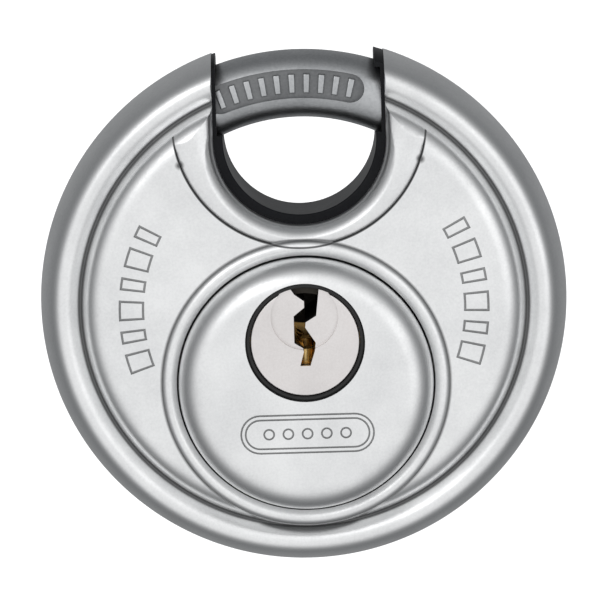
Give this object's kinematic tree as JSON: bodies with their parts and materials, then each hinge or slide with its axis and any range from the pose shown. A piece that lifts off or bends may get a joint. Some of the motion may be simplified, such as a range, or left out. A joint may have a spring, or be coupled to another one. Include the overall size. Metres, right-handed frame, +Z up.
{
  "type": "disc padlock",
  "caption": "Round disc padlock with two pressed steel shells, a ring-segment shackle that swings across a notch, and a keyed pin-tumbler cylinder in a domed cup.",
  "frame": {"origin": "centre of the shackle bar at the top of its arc, where a staple hangs the lock from; the disc's axis is 20.65 mm below it", "axes": "+Z up towards the notch, the keyed front faces -Y, +X to the right seen from the front"},
  "size_m": [0.05, 0.0158, 0.0488],
  "materials": {
    "body_steel": "satin polished stainless sheet",
    "cup_steel": "satin polished stainless sheet",
    "shackle_steel": "darker satin forged steel",
    "black_plastic": "glossy black moulding",
    "black_rubber": "matte black",
    "plug_nickel": "warm nickel plate",
    "brass": "machined brass",
    "hardened_steel": "hardened, ground",
    "inner_steel": "zinc plated",
    "spring_steel": "spring wire"
  },
  "bodies": {
    "case": {"front_shell": "body_steel", "rear_shell": "body_steel", "cylinder_cup": "cup_steel", "throat_liner": "black_plastic", "drill_guard_plate": "hardened_steel", "plug_seal_ring": "black_rubber", "cylinder_body": "brass", "chamber_caps": "brass", "standoff_sleeves": "inner_steel", "cylinder_screws": "inner_steel", "bearing_plate": "inner_steel", "pin_spring_1": "spring_steel", "pin_spring_2": "spring_steel", "pin_spring_3": "spring_steel", "pin_spring_4": "spring_steel"},
    "shackle_set": {"shackle": "shackle_steel", "shackle_carrier": "hardened_steel", "carrier_rivets": "inner_steel"},
    "plug_set": {"plug": "brass", "plug_face_cap": "plug_nickel", "plug_retaining_clip": "inner_steel", "drive_pinion": "hardened_steel", "pinion_screw": "inner_steel"},
    "key_pin_body_1": {"key_pin_1": "brass"},
    "driver_pin_body_1": {"driver_pin_1": "inner_steel"},
    "key_pin_body_2": {"key_pin_2": "brass"},
    "driver_pin_body_2": {"driver_pin_2": "inner_steel"},
    "key_pin_body_3": {"key_pin_3": "brass"},
    "driver_pin_body_3": {"driver_pin_3": "inner_steel"},
    "key_pin_body_4": {"key_pin_4": "brass"},
    "driver_pin_body_4": {"driver_pin_4": "inner_steel"}
  },
  "joints": [
    {"name": "shackle_swing", "type": "hinge", "parent": "case", "child": "shackle_set", "pos_m": [0, 0, -0.02065], "axis": [0, 1, 0], "range_deg": [0, 70]},
    {"name": "plug_turn", "type": "hinge", "parent": "case", "child": "plug_set", "pos_m": [0, 0, -0.02335], "axis": [0, 1, 0], "range_deg": [0, 130]},
    {"name": "key_pin_slide_1", "type": "slide", "parent": "plug_set", "child": "key_pin_body_1", "axis": [0, 0, 1], "range_m": [0, 0.0012]},
    {"name": "driver_pin_slide_1", "type": "slide", "parent": "case", "child": "driver_pin_body_1", "axis": [0, 0, -1], "range_m": [0, 0.0015], "stiffness_N_per_m": 30, "springref_m": -0.003, "deforming": ["pin_spring_1"]},
    {"name": "key_pin_slide_2", "type": "slide", "parent": "plug_set", "child": "key_pin_body_2", "axis": [0, 0, 1], "range_m": [0, 0.0012]},
    {"name": "driver_pin_slide_2", "type": "slide", "parent": "case", "child": "driver_pin_body_2", "axis": [0, 0, -1], "range_m": [0, 0.0015], "stiffness_N_per_m": 30, "springref_m": -0.003, "deforming": ["pin_spring_2"]},
    {"name": "key_pin_slide_3", "type": "slide", "parent": "plug_set", "child": "key_pin_body_3", "axis": [0, 0, 1], "range_m": [0, 0.0012]},
    {"name": "driver_pin_slide_3", "type": "slide", "parent": "case", "child": "driver_pin_body_3", "axis": [0, 0, -1], "range_m": [0, 0.0015], "stiffness_N_per_m": 30, "springref_m": -0.003, "deforming": ["pin_spring_3"]},
    {"name": "key_pin_slide_4", "type": "slide", "parent": "plug_set", "child": "key_pin_body_4", "axis": [0, 0, 1], "range_m": [0, 0.0012]},
    {"name": "driver_pin_slide_4", "type": "slide", "parent": "case", "child": "driver_pin_body_4", "axis": [0, 0, -1], "range_m": [0, 0.0015], "stiffness_N_per_m": 30, "springref_m": -0.003, "deforming": ["pin_spring_4"]}
  ],
  "couplings": [
    {"joint": "plug_turn", "follows": "shackle_swing", "ratio": 1.75}
  ]
}
